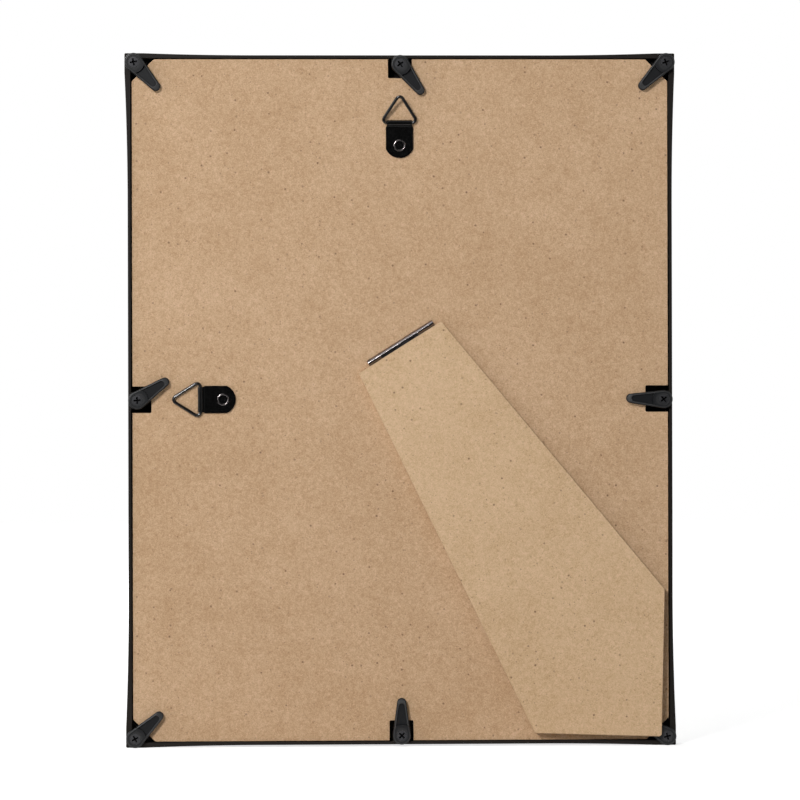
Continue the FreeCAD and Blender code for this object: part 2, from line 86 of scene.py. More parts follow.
def ramp_stops(node, stops):
    """Set the stops of a colour ramp, each a place and a colour."""
    elements = node.color_ramp.elements
    while len(elements) < len(stops):
        elements.new(0.5)
    for element, (place, colour) in zip(elements, stops):
        element.position = place
        element.color = colour


def grey(value):
    return (value, value, value, 1.0)


def empty_material(name):
    material = bpy.data.materials.new(name)
    material.use_nodes = True
    material.node_tree.nodes.clear()
    return material


def start_material(name, constants):
    """A material with its shader and its texture places. constants don't vary over the surface."""
    material = empty_material(name)
    tree = material.node_tree
    shader = add(tree, "ShaderNodeBsdfPrincipled", constants)
    add(tree, "ShaderNodeOutputMaterial", {"Surface": shader})
    place = add(tree, "ShaderNodeTexCoord")
    return material, tree, shader, place


def dress(tree, shader, tone, bump, rough=None):
    """Link a colour mix, a relief and, where it varies, a roughness to the shader."""
    tree.links.new(tone.outputs[2], shader.inputs["Base Color"])
    tree.links.new(bump.outputs[0], shader.inputs["Normal"])
    if rough:
        tree.links.new(rough.outputs[0], shader.inputs["Roughness"])


def per_metre(size_mm):
    """A texture scale at which one cell or wave of a pattern is size_mm across."""
    return 1 / (size_mm * MM)


def fibreboard(name, pale, mid, dark, speck, seed):
    """Raw hardboard pressed from wood fibre: matt, mottled tan, with clumps and specks of bark."""
    material, tree, shader, place = start_material(name, {"Specular IOR Level": 0.3})
    here = add(tree, "ShaderNodeMapping", {"Vector": place.outputs["Object"],
                                           "Location": (seed, seed * 0.37, seed * 0.71)})

    # Mottling from broad clouds down to single fibres: size in mm, detail, distortion and weight
    layers = [(90, 3.0, 0.0, 0.25), (16, 4.0, 0.0, 0.18), (2.6, 3.0, 0.6, 0.34),
              (1.0, 2.0, 1.2, 0.5), (0.55, 1.0, 0.8, 0.6)]
    total = 0.5 - 0.5 * sum(weight for _, _, _, weight in layers)
    heights = []
    for size, detail, distortion, weight in layers:
        noise = add(tree, "ShaderNodeTexNoise",
                    {"Vector": here, "Scale": per_metre(size), "Detail": detail,
                     "Roughness": 0.6, "Distortion": distortion})
        heights.append(noise)
        total = add(tree, "ShaderNodeMath", {0: noise, 1: weight, 2: total},
                    operation="MULTIPLY_ADD")
    tone = add(tree, "ShaderNodeValToRGB", {0: total})
    ramp_stops(tone, [(0.3, linear(dark)), (0.5, linear(mid)), (0.7, linear(pale))])
    surface = tone.outputs[0]

    # Specks of bark: distance apart in mm, radius as a share of it, share left bare, and strength
    for apart, radius, left_plain, strength in ((1.9, 0.2, 0.4, 0.55), (4.3, 0.155, 0.4, 0.8)):
        cells = add(tree, "ShaderNodeTexVoronoi",
                    {"Vector": here, "Scale": per_metre(apart), "Randomness": 1.0},
                    voronoi_dimensions="3D", feature="F1")
        grain = add(tree, "ShaderNodeMapRange", {0: cells.outputs["Distance"], 1: radius * 0.6,
                                                 2: radius, 3: 1.0, 4: 0.0})
        chosen = add(tree, "ShaderNodeSeparateColor", {0: cells.outputs["Color"]})
        strong = add(tree, "ShaderNodeMapRange", {0: chosen, 1: left_plain, 2: 1.0, 3: 0.0, 4: strength})
        amount = add(tree, "ShaderNodeMath", {0: grain, 1: strong}, operation="MULTIPLY")
        surface = add(tree, "ShaderNodeMix", {0: amount, 6: surface, 7: linear(speck)},
                      data_type="RGBA").outputs[2]

    # The two middle layers, clumps and the fibres between them, stand up a little
    fibres = add(tree, "ShaderNodeMix", {0: 0.5, 2: heights[2], 3: heights[3]}, data_type="FLOAT")

    # Cut edges show the pale, loose middle of the sheet
    normal = add(tree, "ShaderNodeSeparateXYZ", {0: place.outputs["Normal"]})
    flat = add(tree, "ShaderNodeMath", {0: normal.outputs[1]}, operation="ABSOLUTE")
    side = add(tree, "ShaderNodeMapRange", {0: flat, 1: 0.95, 2: 0.4, 3: 0.0, 4: 0.5})
    tone = add(tree, "ShaderNodeMix", {0: side, 6: surface, 7: linear(pale)}, data_type="RGBA")
    rough = add(tree, "ShaderNodeMapRange", {0: fibres, 1: 0.3, 2: 0.7, 3: 0.82, 4: 0.68})
    bump = add(tree, "ShaderNodeBump", {"Height": fibres, "Strength": 0.35, "Distance": 0.12 * MM})
    dress(tree, shader, tone, bump, rough)
    return material


def moulded(name, colour, flowed, painted_light, roughness, grit_mm, relief_mm, specular):
    """Injection-moulded ABS from a lightly sparked mould: satin, with a fine even grain."""
    material, tree, shader, place = start_material(name, {"Specular IOR Level": specular})
    where = place.outputs["Object"]
    flow = add(tree, "ShaderNodeTexNoise", {"Vector": where, "Scale": per_metre(22), "Detail": 3.0})
    grain = add(tree, "ShaderNodeTexNoise", {"Vector": where, "Scale": per_metre(grit_mm),
                                             "Detail": 3.0, "Roughness": 0.7})
    plain = add(tree, "ShaderNodeMix", {0: flow, 6: linear(colour), 7: linear(flowed)},
                data_type="RGBA")

    # Painted highlight: where the mesh's attribute marks it, on button edges and rims, the colour is painted
    # paler, in patches, and the surface is made smoother
    light_attribute = add(tree, "ShaderNodeAttribute", attribute_name="painted_light")
    patchy = add(tree, "ShaderNodeMapRange", {0: grain, 1: 0.3, 2: 0.6, 3: 0.5, 4: 1.0})
    painted_lit = add(tree, "ShaderNodeMath", {0: light_attribute.outputs["Fac"], 1: patchy}, operation="MULTIPLY")
    tone = add(tree, "ShaderNodeMix", {0: painted_lit, 6: plain.outputs[2], 7: linear(painted_light)},
               data_type="RGBA")
    satin = add(tree, "ShaderNodeMapRange", {0: flow, 1: 0.3, 2: 0.7,
                                             3: roughness - 0.05, 4: roughness + 0.06})
    rough = add(tree, "ShaderNodeMath", {0: painted_lit, 1: -0.12, 2: satin}, operation="MULTIPLY_ADD")
    bump = add(tree, "ShaderNodeBump", {"Height": grain, "Strength": 0.5,
                                        "Distance": relief_mm * MM})
    dress(tree, shader, tone, bump, rough)
    return material


def enamel(name, colour, thin, roughness, ripple_mm, specular):
    """Stoved enamel on steel: deep gloss with a faint ripple and thin spots where it drew back."""
    material, tree, shader, place = start_material(name, {"Specular IOR Level": specular})
    where = place.outputs["Object"]
    ripple = add(tree, "ShaderNodeTexNoise", {"Vector": where, "Scale": per_metre(ripple_mm),
                                              "Detail": 2.0})
    film = add(tree, "ShaderNodeTexNoise", {"Vector": where, "Scale": per_metre(0.9),
                                            "Detail": 3.0})
    tone = add(tree, "ShaderNodeMix", {0: film, 6: linear(colour), 7: linear(thin)},
               data_type="RGBA")
    rough = add(tree, "ShaderNodeMapRange", {0: film, 1: 0.3, 2: 0.7,
                                             3: roughness - 0.05, 4: roughness + 0.08})
    bump = add(tree, "ShaderNodeBump", {"Height": ripple, "Strength": 0.35, "Distance": 0.05 * MM})
    dress(tree, shader, tone, bump, rough)
    return material


def plated(name, colour, dull, roughness):
    """Black nickel plate on steel: a dark mirror, finely pitted, with a dull haze in places."""
    material, tree, shader, place = start_material(name, {"Metallic": 1.0})
    where = place.outputs["Object"]
    haze = add(tree, "ShaderNodeTexNoise", {"Vector": where, "Scale": per_metre(3.0),
                                            "Detail": 3.0})
    tone = add(tree, "ShaderNodeMix", {0: haze, 6: linear(colour), 7: linear(dull)},
               data_type="RGBA")
    rough = add(tree, "ShaderNodeMapRange", {0: haze, 1: 0.3, 2: 0.7,
                                             3: roughness - 0.06, 4: roughness + 0.1})
    pits = add(tree, "ShaderNodeTexNoise", {"Vector": where, "Scale": per_metre(0.5),
                                            "Detail": 2.0})
    bump = add(tree, "ShaderNodeBump", {"Height": pits, "Strength": 0.15, "Distance": 0.01 * MM})
    dress(tree, shader, tone, bump, rough)
    return material


def blackened(name, painted_lit, recess_shade, roughness):
    """Heat-blackened screw steel: a lit grey on the head, and a painted shade, near black, in the recess."""
    material, tree, shader, place = start_material(name, {"Metallic": 1.0})
    blotches = add(tree, "ShaderNodeTexNoise", {"Vector": place.outputs["Object"],
                                             "Scale": per_metre(0.8), "Detail": 3.0})
    light_attribute = add(tree, "ShaderNodeAttribute", attribute_name="painted_light")
    patchy = add(tree, "ShaderNodeMapRange", {0: blotches, 1: 0.3, 2: 0.7, 3: 0.7, 4: 1.0})
    left_plain = add(tree, "ShaderNodeMath", {0: light_attribute.outputs["Fac"], 1: patchy}, operation="MULTIPLY")
    # Painted shade: the recess and shank get the near-black colour, and the head gets the lit grey
    tone = add(tree, "ShaderNodeMix", {0: left_plain, 6: linear(recess_shade), 7: linear(painted_lit)},
               data_type="RGBA")
    rough = add(tree, "ShaderNodeMapRange", {0: blotches, 1: 0.3, 2: 0.7,
                                             3: roughness - 0.06, 4: roughness + 0.08})
    bump = add(tree, "ShaderNodeBump", {"Height": blotches, "Strength": 0.3, "Distance": 0.02 * MM})
    dress(tree, shader, tone, bump, rough)
    return material


def clear_sheet(name):
    """Clear polystyrene sheet: colourless, glossy, with the faintest waviness."""
    material, tree, shader, place = start_material(
        name, {"Transmission Weight": 1.0, "Roughness": 0.03, "IOR": 1.49})
    wave = add(tree, "ShaderNodeTexNoise", {"Vector": place.outputs["Object"],
                                            "Scale": per_metre(60), "Detail": 1.0})
    tone = add(tree, "ShaderNodeMix", {0: wave, 6: linear("f6f9f8"), 7: linear("ffffff")},
               data_type="RGBA")
    bump = add(tree, "ShaderNodeBump", {"Height": wave, "Strength": 0.1, "Distance": 0.2 * MM})
    dress(tree, shader, tone, bump)
    return material


def paper(name):
    """Uncoated insert paper: off-white, matt, with a felt-side fibre texture."""
    material, tree, shader, place = start_material(
        name, {"Roughness": 0.9, "Specular IOR Level": 0.2})
    where = place.outputs["Object"]
    felt = add(tree, "ShaderNodeTexNoise", {"Vector": where, "Scale": per_metre(1.4),
                                            "Detail": 4.0, "Roughness": 0.7})
    cloud = add(tree, "ShaderNodeTexNoise", {"Vector": where, "Scale": per_metre(12),
                                             "Detail": 2.0})
    both = add(tree, "ShaderNodeMix", {0: 0.5, 2: felt, 3: cloud}, data_type="FLOAT")
    tone = add(tree, "ShaderNodeMix", {0: both, 6: linear("e6e2d9"), 7: linear("f3f0e9")},
               data_type="RGBA")
    bump = add(tree, "ShaderNodeBump", {"Height": felt, "Strength": 0.4, "Distance": 0.03 * MM})
    dress(tree, shader, tone, bump)
    return material


finishes = {
    "backing_fibreboard": fibreboard("raw_hardboard_back", pale="d6b594", mid="c3a27f",
                                     dark="b08c67", speck="6a4a30", seed=0.0),
    "leg_fibreboard": fibreboard("raw_hardboard_leg", pale="dcbc99", mid="cdae89",
                                 dark="bb9972", speck="6a4a30", seed=0.31),
    "moulded_frame": moulded("moulded_abs_frame", colour="16120e", flowed="1d1814", painted_light="2a2623",
                             roughness=0.5, grit_mm=0.5, relief_mm=0.02, specular=0.16),
    # The button's pale colour is a painted highlight for its edges and rims
    "button_plastic": moulded("moulded_abs_button", colour="101113", flowed="151619", painted_light="5c5c5c",
                              roughness=0.42, grit_mm=0.35, relief_mm=0.02, specular=0.21),
    "black_enamel": enamel("stoved_enamel_strap", colour="040404", thin="090909",
                           roughness=0.12, ripple_mm=6.0, specular=0.5),
    "black_wire": enamel("stoved_enamel_wire", colour="0b0908", thin="120f0d",
                         roughness=0.14, ripple_mm=4.0, specular=1.0),
    "black_nickel": plated("black_nickel_plate", colour="a49d9d", dull="827c7c", roughness=0.12),
    # The screw's grey is the lit tone of its head, and the near-black is a painted shade in its recess
    "blackened_screw": blackened("blackened_steel_screw", painted_lit="454547", recess_shade="0c0c0d",
                                 roughness=0.5),
    "clear_pane": clear_sheet("clear_styrene_sheet"),
    "paper_insert": paper("plain_insert_paper"),
}

slots = {entry["node"]: entry["material_slot"] for entry in frame["record"]["subparts"]}
bodies = {node: body for body, members in frame["record"]["behaviour"]["bodies"].items()
          for node in members}
for node, obj in nodes.items():
    obj.data.materials.clear()
    obj.data.materials.append(finishes[slots[node]])


# Mesh tools. A shape is a list of corners and a list of faces, in local sizes.

def ease(value, low, high):
    """0 below low, 1 above high and straight in between."""
    return min(max((value - low) / (high - low), 0.0), 1.0)


def circle(radius, count):
    return [(radius * math.cos(math.tau * i / count), radius * math.sin(math.tau * i / count))
            for i in range(count)]


def relief(loops, inside, top, bottom):
    """A closed solid between two height fields, with mesh lines along every loop of points.

    loops holds (points, closed) pairs, and inside tells which places belong to the solid."""
    points, edges = [], []
    for loop, closed in loops:
        first = len(points)
        points += [Vector(p) for p in loop]
        edges += [(first + i, first + i + 1) for i in range(len(loop) - 1)]
        if closed:
            edges.append((first + len(loop) - 1, first))
    flat, _, faces, _, _, _ = delaunay_2d_cdt(points, edges, [], 0, 1e-4)
    kept = []
    for face in faces:
        centre = sum((flat[i] for i in face), Vector((0, 0))) / len(face)
        if inside(centre.x, centre.y):
            kept.append(tuple(face))
    used = sorted({i for face in kept for i in face})
    at = {old: new for new, old in enumerate(used)}
    count = len(used)
    verts = [(flat[i].x, flat[i].y, top(flat[i].x, flat[i].y)) for i in used]
    verts += [(flat[i].x, flat[i].y, bottom(flat[i].x, flat[i].y)) for i in used]
    solid = [tuple(at[i] for i in face) for face in kept]
    sides = {(f[i], f[(i + 1) % len(f)]) for f in solid for i in range(len(f))}
    walls = [(b, a, a + count, b + count) for a, b in sides if (b, a) not in sides]
    return verts, solid + [tuple(i + count for i in reversed(f)) for f in solid] + sorted(walls)


def stack(rings, looped=False):
    """A solid through rings of equally many points, closed on itself or with a flat at each end."""
    count = len(rings[0])
    verts = [point for ring in rings for point in ring]
    faces = []
    if not looped:
        faces += [tuple(reversed(range(count))), tuple(range(len(verts) - count, len(verts)))]
    for row in range(len(rings) if looped else len(rings) - 1):
        a, b = row * count, (row + 1) % len(rings) * count
        faces += [(a + i, a + (i + 1) % count, b + (i + 1) % count, b + i) for i in range(count)]
    return verts, faces


def lathe(profile, count, looped=True):
    """A solid of revolution about the height axis from (radius, height) points."""
    return stack([[(x, y, height) for x, y in circle(radius, count)] for radius, height in profile],
                 looped)


def tube_along(path, radius, sides):
    """A round wire along a closed path in one plane, given as (across, up) points."""
    rings = []
    for i, point in enumerate(path):
        ahead, behind = Vector(path[(i + 1) % len(path)]), Vector(path[i - 1])
        along = (ahead - behind).normalized()
        out = Vector((along.y, -along.x))
        rings.append([(*(Vector(point) + out * x), y) for x, y in circle(radius, sides)])
    return stack(rings, looped=True)


def strip(path, thickness, edge):
    """A sheet along a path of (place, height, half width), its long edges rounded."""
    rings = []
    for i, (v, h, half) in enumerate(path):
        before, after = path[max(i - 1, 0)], path[min(i + 1, len(path) - 1)]
        run = Vector((after[0] - before[0], after[1] - before[1])).normalized()
        ring = []
        for side_u, side_n, start in ((1, 1, 0), (-1, 1, 90), (-1, -1, 180), (1, -1, 270)):
            for turn in (start, start + 45, start + 90):
                across = side_u * (half - edge) + edge * math.cos(math.radians(turn))
                out = side_n * (thickness / 2 - edge) + edge * math.sin(math.radians(turn))
                ring.append((across, v - run.y * out, h + run.x * out))
        rings.append(ring)
    return stack(rings)


def joined(*shapes):
    """Several shapes as one."""
    verts, faces = [], []
    for more, sides in shapes:
        faces += [tuple(i + len(verts) for i in side) for side in sides]
        verts += more
    return verts, faces


def rounded(corners, rounds, inset, steps=8):
    """Points round a polygon that is moved inwards, with each corner rounded."""
    points = [Vector(corner) for corner in corners]
    area = sum(a.x * b.y - b.x * a.y for a, b in zip(points, points[1:] + points[:1]))
    inwards = math.copysign(1, area)
    moved = []
    for i, corner in enumerate(points):
        back = (points[i - 1] - corner).normalized()
        ahead = (points[(i + 1) % len(points)] - corner).normalized()
        half = back.angle(ahead) / 2
        way = (back + ahead).normalized()
        if inwards * (ahead.x * back.y - ahead.y * back.x) < 0:
            way.negate()
        moved.append((corner + way * (inset / math.sin(half)), back, ahead, half))
    result = []
    for (corner, back, ahead, half), radius in zip(moved, rounds):
        radius = max(radius - inset, 0.02)
        centre = corner + (back + ahead).normalized() * (radius / math.sin(half))
        start = corner + back * (radius / math.tan(half)) - centre
        swing = inwards * (math.pi - 2 * half)
        result += [tuple(centre + Matrix.Rotation(swing * k / steps, 2) @ start)
                   for k in range(steps + 1)]
    return result


# Local sizes are millimetres along, across and high, which become -X, +Z and +Y
ON_THE_BACK = Matrix(((-MM, 0, 0, 0), (0, 0, MM, 0), (0, MM, 0, 0), (0, 0, 0, 1)))


def solid_mesh(name, shape, sharp, painted_light=None):
    """A mesh in metres from a shape, with outward faces and edges that are crisp past an angle.

    The last argument gives how much painted light a place gets, from 0 to 1, for the material to read: a painted
    highlight on a button, or the lit head against the painted shade of a screw's recess."""
    verts, faces = shape
    mesh = bpy.data.meshes.new(name)
    mesh.from_pydata([ON_THE_BACK @ Vector(v) for v in verts], [], faces)
    bm = bmesh.new()
    bm.from_mesh(mesh)
    bmesh.ops.remove_doubles(bm, verts=bm.verts, dist=0.001 * MM)
    bmesh.ops.dissolve_degenerate(bm, edges=bm.edges, dist=0.0005 * MM)
    bmesh.ops.recalc_face_normals(bm, faces=bm.faces)
    bm.to_mesh(mesh)
    bm.free()
    mesh.shade_smooth()
    mesh.set_sharp_from_angle(angle=math.radians(sharp))
    if painted_light:
        light_attribute = mesh.attributes.new("painted_light", "FLOAT", "POINT")
        for vertex, mark in zip(mesh.vertices, light_attribute.data):
            x, y, z = vertex.co
            mark.value = painted_light(-x / MM, z / MM, y / MM)
    return mesh


def add_object(name, mesh):
    obj = bpy.data.objects.new(name, mesh)
    bpy.context.scene.collection.objects.link(obj)
    return obj


def even_shading(obj):
    """Broad flat faces keep their own normals, and only the rounds between them shade smoothly."""
    modifier = obj.modifiers.new("even_shading", "WEIGHTED_NORMAL")
    modifier.keep_sharp = True
    modifier.weight = 80


def fit(obj, *replaced):
    """Give a piece the body, slot and finish of the node that it stands for."""
    node = replaced[0]
    obj.data.materials.clear()
    obj.data.materials.append(finishes[slots[node]])
    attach(obj, bodies[node])
    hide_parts(*replaced)


# Repeated pieces

def placing_tree():
    """Sets a part on each point, turned as the point's attribute says, and makes it real."""
    tree = bpy.data.node_groups.new("set_on_points", "GeometryNodeTree")
    for name, kind in (("Geometry", "Geometry"), ("Part", "Object"), ("Size", "Float"),
                       ("Finish", "Material")):
        tree.interface.new_socket(name, in_out="INPUT", socket_type="NodeSocket" + kind)
    tree.interface.new_socket("Geometry", in_out="OUTPUT", socket_type="NodeSocketGeometry")
    given = add(tree, "NodeGroupInput").outputs
    part = add(tree, "GeometryNodeObjectInfo", {"Object": given["Part"]})
    turn = add(tree, "GeometryNodeInputNamedAttribute", {"Name": "turn"}, data_type="FLOAT_VECTOR")
    copies = add(tree, "GeometryNodeInstanceOnPoints",
                 {"Points": given["Geometry"], "Instance": part.outputs["Geometry"],
                  "Rotation": turn.outputs["Attribute"], "Scale": given["Size"]})
    real = add(tree, "GeometryNodeRealizeInstances", {"Geometry": copies})
    painted = add(tree, "GeometryNodeSetMaterial", {"Geometry": real, "Material": given["Finish"]})
    add(tree, "NodeGroupOutput", {"Geometry": painted})
    return tree


placing = placing_tree()
inputs = {item.name: item.identifier for item in placing.interface.items_tree
          if item.in_out == "INPUT"}


def place_part(name, mesh, places, replaced):
    """One piece made of copies of a mesh, each at a place with a turn in degrees about Y."""
    part = add_object(name + "_part", mesh)
    cloud = bpy.data.meshes.new(name + "_points")
    cloud.from_pydata([place for place, _ in places], [], [])
    turns = cloud.attributes.new("turn", "FLOAT_VECTOR", "POINT")
    for item, (_, angle) in zip(turns.data, places):
        item.vector = (0, math.radians(angle), 0)
    carrier = add_object(name + "_points", cloud)
    modifier = carrier.modifiers.new("set_on_points", "NODES")
    modifier.node_group = placing
    modifier[inputs["Part"]] = part
    modifier[inputs["Size"]] = 1.0
    modifier[inputs["Finish"]] = finishes[slots[replaced[0]]]
    graph = bpy.context.evaluated_depsgraph_get()
    whole = bpy.data.meshes.new_from_object(carrier.evaluated_get(graph),
                                            preserve_all_data_layers=True, depsgraph=graph)
    whole.name = name
    bpy.data.objects.remove(carrier)
    bpy.data.objects.remove(part)
    piece = add_object(name, whole)
    even_shading(piece)
    fit(piece, *replaced)


def joint_place(body):
    """Where the joint that carries a body is, in metres."""
    return Vector(next(joint for joint in frame["joints"] if joint["child"] == body)["pos_m"])


# Turn buttons, with sizes in millimetres: a head over the screw, and an arm with a round tip

BUTTON_BASE = 1.4
HEAD_RADIUS = 4.7
HEAD_TOP = 3.0
UNDERSIDE_STEP = 0.06
REACH = 19.5
TIP_RADIUS = 2.4
ARM_UNDER = 0.95
ARM_TOP = 2.6
EDGE_ROUND = 0.65
EDGE_LINES = (0, 0.03, 0.1, 0.22, EDGE_ROUND)
SHOULDER = 5.7
SHOULDER_RUN = 0.25
RIM = 0.9
POCKET_RUN = 0.35
POCKET_DEPTH = 1.0
POCKET_SHORT = 2.0
TIP_LINES = (16.4, 17.0, 17.6, 18.2, 18.8)
TIP_LINE_HALF = 2.3
TIP_FALL = 0.09
BORE = 1.56
SINK_RADIUS = 2.87
SINK_EDGE = 0.08
SINK_WALL = 0.01
SINK_LINE = 2.2
SCREW_TOP = 2.75


class Tapered:
    """The outline round two circles, the larger at the origin and the smaller along from it."""

    def __init__(self, big, small, span):
        self.big, self.small, self.span = big, small, span
        self.turn = math.acos((big - small) / span)

    def inset(self, u, v):
        """How far inside the outline a point lies."""
        v = abs(v)
        cos, sin = math.cos(self.turn), math.sin(self.turn)
        along = u * sin - v * cos
        if along < 0:
            return self.big - math.hypot(u, v)
        if along > self.span * sin:
            return self.small - math.hypot(u - self.span, v)
        return self.big - (u * cos + v * sin)

    def loop(self, inset, ends=14, back=30, side=22):
        """The outline moved inwards."""
        big, small = self.big - inset, self.small - inset
        points = []
        for i in range(ends):
            turn = -self.turn + 2 * self.turn * i / ends
            points.append((self.span + small * math.cos(turn), small * math.sin(turn)))
        cos, sin = math.cos(self.turn), math.sin(self.turn)
        for i in range(side):
            share = i / side
            radius = small + (big - small) * share
            points.append((self.span * (1 - share) + radius * cos, radius * sin))
        for i in range(back):
            turn = self.turn + 2 * (math.pi - self.turn) * i / back
            points.append((big * math.cos(turn), big * math.sin(turn)))
        for i in range(side):
            share = i / side
            radius = big + (small - big) * share
            points.append((self.span * share + radius * cos, -radius * sin))
        return points


def arc_across(shape, radius, count):
    """The part of a circle about the screw that lies within an outline, from side to side."""
    # The widest turn is looked for in thousandths of a radian, up to a quarter of a turn
    widest = max(turn / 1000 for turn in range(1571)
                 if shape.inset(radius * math.cos(turn / 1000), radius * math.sin(turn / 1000)) > 0)
    turns = [widest * (2 * i / count - 1) for i in range(count + 1)]
    return [(radius * math.cos(turn), radius * math.sin(turn)) for turn in turns]


def make_button():
    whole = Tapered(HEAD_RADIUS, TIP_RADIUS, REACH - TIP_RADIUS)
    slope = (HEAD_RADIUS - TIP_RADIUS) / (REACH - TIP_RADIUS)
    pocket = Tapered(HEAD_RADIUS - RIM, TIP_RADIUS - RIM + POCKET_SHORT * slope,
                     REACH - TIP_RADIUS - POCKET_SHORT)

    def top(u, v):
        radius = math.hypot(u, v)
        if radius < SINK_RADIUS + SINK_EDGE:
            if radius > SINK_RADIUS - 0.001:
                out = ease(radius, SINK_RADIUS, SINK_RADIUS + SINK_EDGE)
                return HEAD_TOP - SINK_EDGE * (1 - out)
            return SCREW_TOP - (SINK_RADIUS - SINK_WALL - radius)
        beyond = ease(radius, SHOULDER, SHOULDER + SHOULDER_RUN)
        level = HEAD_TOP + (ARM_TOP - HEAD_TOP) * beyond
        level -= POCKET_DEPTH * beyond * ease(pocket.inset(u, v), 0, POCKET_RUN)
        level -= TIP_FALL * max(0.0, u - TIP_LINES[0]) ** 2
        edge = whole.inset(u, v)
        if edge < EDGE_ROUND:
            level -= EDGE_ROUND - math.sqrt(max(0.0, EDGE_ROUND ** 2 - (EDGE_ROUND - edge) ** 2))
        return level

    def bottom(u, v):
        return ARM_UNDER * ease(math.hypot(u, v), HEAD_RADIUS, HEAD_RADIUS + UNDERSIDE_STEP)

    loops = [(whole.loop(inset), True) for inset in EDGE_LINES]
    loops += [(pocket.loop(inset), True) for inset in (0, POCKET_RUN / 2, POCKET_RUN)]
    loops += [(circle(radius, 48), True)
              for radius in (BORE, SINK_LINE, SINK_RADIUS - SINK_WALL, SINK_RADIUS,
                             SINK_RADIUS + SINK_EDGE)]
    loops += [(arc_across(whole, radius, 24), False)
              for radius in (HEAD_RADIUS, HEAD_RADIUS + UNDERSIDE_STEP, SHOULDER,
                             SHOULDER + SHOULDER_RUN / 2, SHOULDER + SHOULDER_RUN)]
    loops += [([(u, -TIP_LINE_HALF), (u, TIP_LINE_HALF)], False) for u in TIP_LINES]
    shape = relief(loops, lambda u, v: whole.inset(u, v) > 0 and math.hypot(u, v) > BORE,
                   top, bottom)

    def painted_light(u, v, h):
        """Painted highlight on the crest of the outer edge, the pocket's rim and the edge round the screw."""
        radius = math.hypot(u, v)
        crest = 1 - ease(abs(whole.inset(u, v) - EDGE_ROUND), 0.05, 0.3)
        rim = 1 - ease(abs(pocket.inset(u, v)), 0.1, 0.3) if radius > SHOULDER else 0.0
        mouth = 1 - ease(abs(radius - SINK_RADIUS - SINK_EDGE), 0.05, 0.3)
        return max(0.03, 0.45 * crest, 0.8 * rim, 0.3 * mouth) if h > ARM_TOP - 0.8 else 0.0

    return solid_mesh("turn_button", shape, 30, painted_light)


# Turn of each button's arm and of its screw's cross, in degrees from the right, seen from behind
BUTTONS = {"top_left": (-47.8, 12.0), "top": (-52.7, 35.0), "top_right": (-134.5, 20.0),
           "left": (33.7, 5.0), "right": (178.3, 40.0), "bottom_left": (43.6, 28.0),
           "bottom": (90.0, 45.0), "bottom_right": (149.4, 15.0)}
screw_places = {where: joint_place("button_" + where) for where in BUTTONS}

for where, (arm_angle, _) in BUTTONS.items():
    place_part("button_" + where, make_button(), [(screw_places[where], arm_angle)],
               ["turn_button_" + where])


# Screws, with sizes in millimetres

SCREW_RADIUS = 2.75
SCREW_CROWN = 0.06
SCREW_EDGE = 0.25
SHANK_RADIUS = 1.5
SCREW_LENGTH = 10.0
SLOT_HALF = 0.45
SLOT_REACH = 1.85
SLOT_WALL = 0.14
SLOT_DEPTH = 1.15
SLOT_DIP = (1.25, 0.45)


def make_screw():
    """A countersunk screw. Its cross recess has leaning walls and is deepest in the middle."""

    def cross(inset):
        near, far = SLOT_HALF - inset, SLOT_REACH - inset
        return [(far, near), (near, near), (near, far), (-near, far), (-near, near),
                (-far, near), (-far, -near), (-near, -near), (-near, -far), (near, -far),
                (near, -near), (far, -near)]

    def depth(u, v):
        u, v = abs(u), abs(v)
        within = max(min(SLOT_REACH - u, SLOT_HALF - v), min(SLOT_REACH - v, SLOT_HALF - u))
        dip = SLOT_DIP[0] - SLOT_DIP[1] * math.hypot(u, v) / SLOT_REACH
        return SLOT_DEPTH * ease(within, 0, SLOT_WALL) * dip

    def top(u, v):
        crown = -SCREW_CROWN * (math.hypot(u, v) / SCREW_RADIUS) ** 2
        return SCREW_TOP + crown - depth(u, v)

    def bottom(u, v):
        radius = math.hypot(u, v)
        cone = SCREW_TOP - SCREW_EDGE - max(0.0, SCREW_RADIUS - radius)
        return cone if radius > SHANK_RADIUS + 0.001 else SCREW_TOP - SCREW_LENGTH

    loops = [(circle(radius, 40), True)
             for radius in (SCREW_RADIUS, 2.6, 2.2, SHANK_RADIUS + 0.02, SHANK_RADIUS)]
    loops += [(cross(inset), True) for inset in (0, SLOT_WALL)]
    loops.append(([(0, 0), (0.01, 0)], False))
    shape = relief(loops, lambda u, v: math.hypot(u, v) < SCREW_RADIUS, top, bottom)

    def painted_light(u, v, h):
        """The lit tone on the head; the recess and the shank get the painted shade."""
        return 1.0 if h > SCREW_TOP - 0.1 else 0.0

    return solid_mesh("cross_screw", shape, 30, painted_light)


place_part("cross_screws", make_screw(),
           [(screw_places[where], cross_angle) for where, (_, cross_angle) in BUTTONS.items()],
           ["turn_button_screws"])


# Hangers, with sizes in millimetres

WIRE_RADIUS = 0.85
RING_HALF_BASE = 9.7
RING_RISE = 15.45
RING_BEND = 1.8
ROLL_RADIUS = 1.4
EYELET_DROP = 11.7


def make_ring(lift):
    """The wire triangle, its corners bent to one radius, standing off the board by its lift."""
    corners = [(RING_HALF_BASE, 0), (0, RING_RISE), (-RING_HALF_BASE, 0)]
    bends = [Vector(point) for point in rounded(corners, (RING_BEND,) * 3, 0.0, 12)]
    path = []
    for point, after in zip(bends, bends[1:] + bends[:1]):
        count = max(1, int((after - point).length))
        path += [point.lerp(after, k / count) for k in range(count)]
    verts, faces = tube_along(path, WIRE_RADIUS, 20)
    tilt = Matrix.Rotation(math.radians(lift), 3, "X")
    return solid_mesh("wire_ring", ([tuple(tilt @ Vector(v)) for v in verts], faces), 60)


